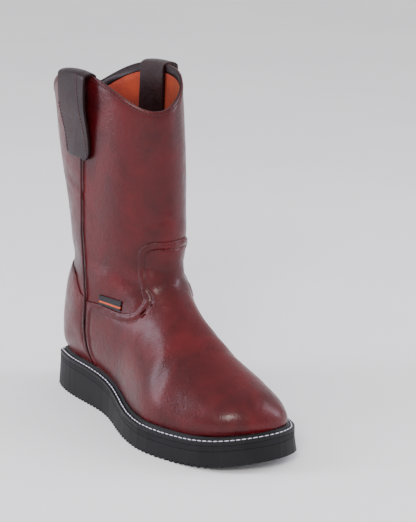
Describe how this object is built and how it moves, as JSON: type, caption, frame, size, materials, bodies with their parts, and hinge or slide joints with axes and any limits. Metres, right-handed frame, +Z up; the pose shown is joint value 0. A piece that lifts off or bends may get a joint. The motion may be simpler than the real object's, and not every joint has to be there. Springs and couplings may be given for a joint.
{
  "type": "western work boot",
  "caption": "Pull-on western work boot with a round toe, tall scalloped shaft, looped pull straps, storm welt and flat wedge sole with a cross-ribbed tread.",
  "frame": {"origin": "on the floor, under the middle of the boot's bounding box", "axes": "+Z up from the floor, -Y towards the toe, -X towards the outer side of the right foot"},
  "size_m": [0.121, 0.311, 0.3266],
  "materials": {
    "sole_rubber": "matt black blown rubber",
    "midsole_rubber": "satin black rubber",
    "welt_rubber": "satin black rubber with light stitching",
    "insole_board": "matt orange-brown leather",
    "oiled_leather": "oiled burgundy leather with a soft shine",
    "strap_leather": "dark burgundy leather, satin",
    "woven_tag": "plain black woven label"
  },
  "bodies": {
    "root": {"outsole": "sole_rubber", "midsole": "midsole_rubber", "welt": "welt_rubber", "insole": "insole_board", "upper": "oiled_leather", "vamp": "oiled_leather", "heel_counter": "oiled_leather", "side_piping_outer": "oiled_leather", "side_piping_inner": "oiled_leather", "pull_strap_outer": "strap_leather", "pull_strap_inner": "strap_leather", "side_tag": "woven_tag"}
  },
  "joints": []
}
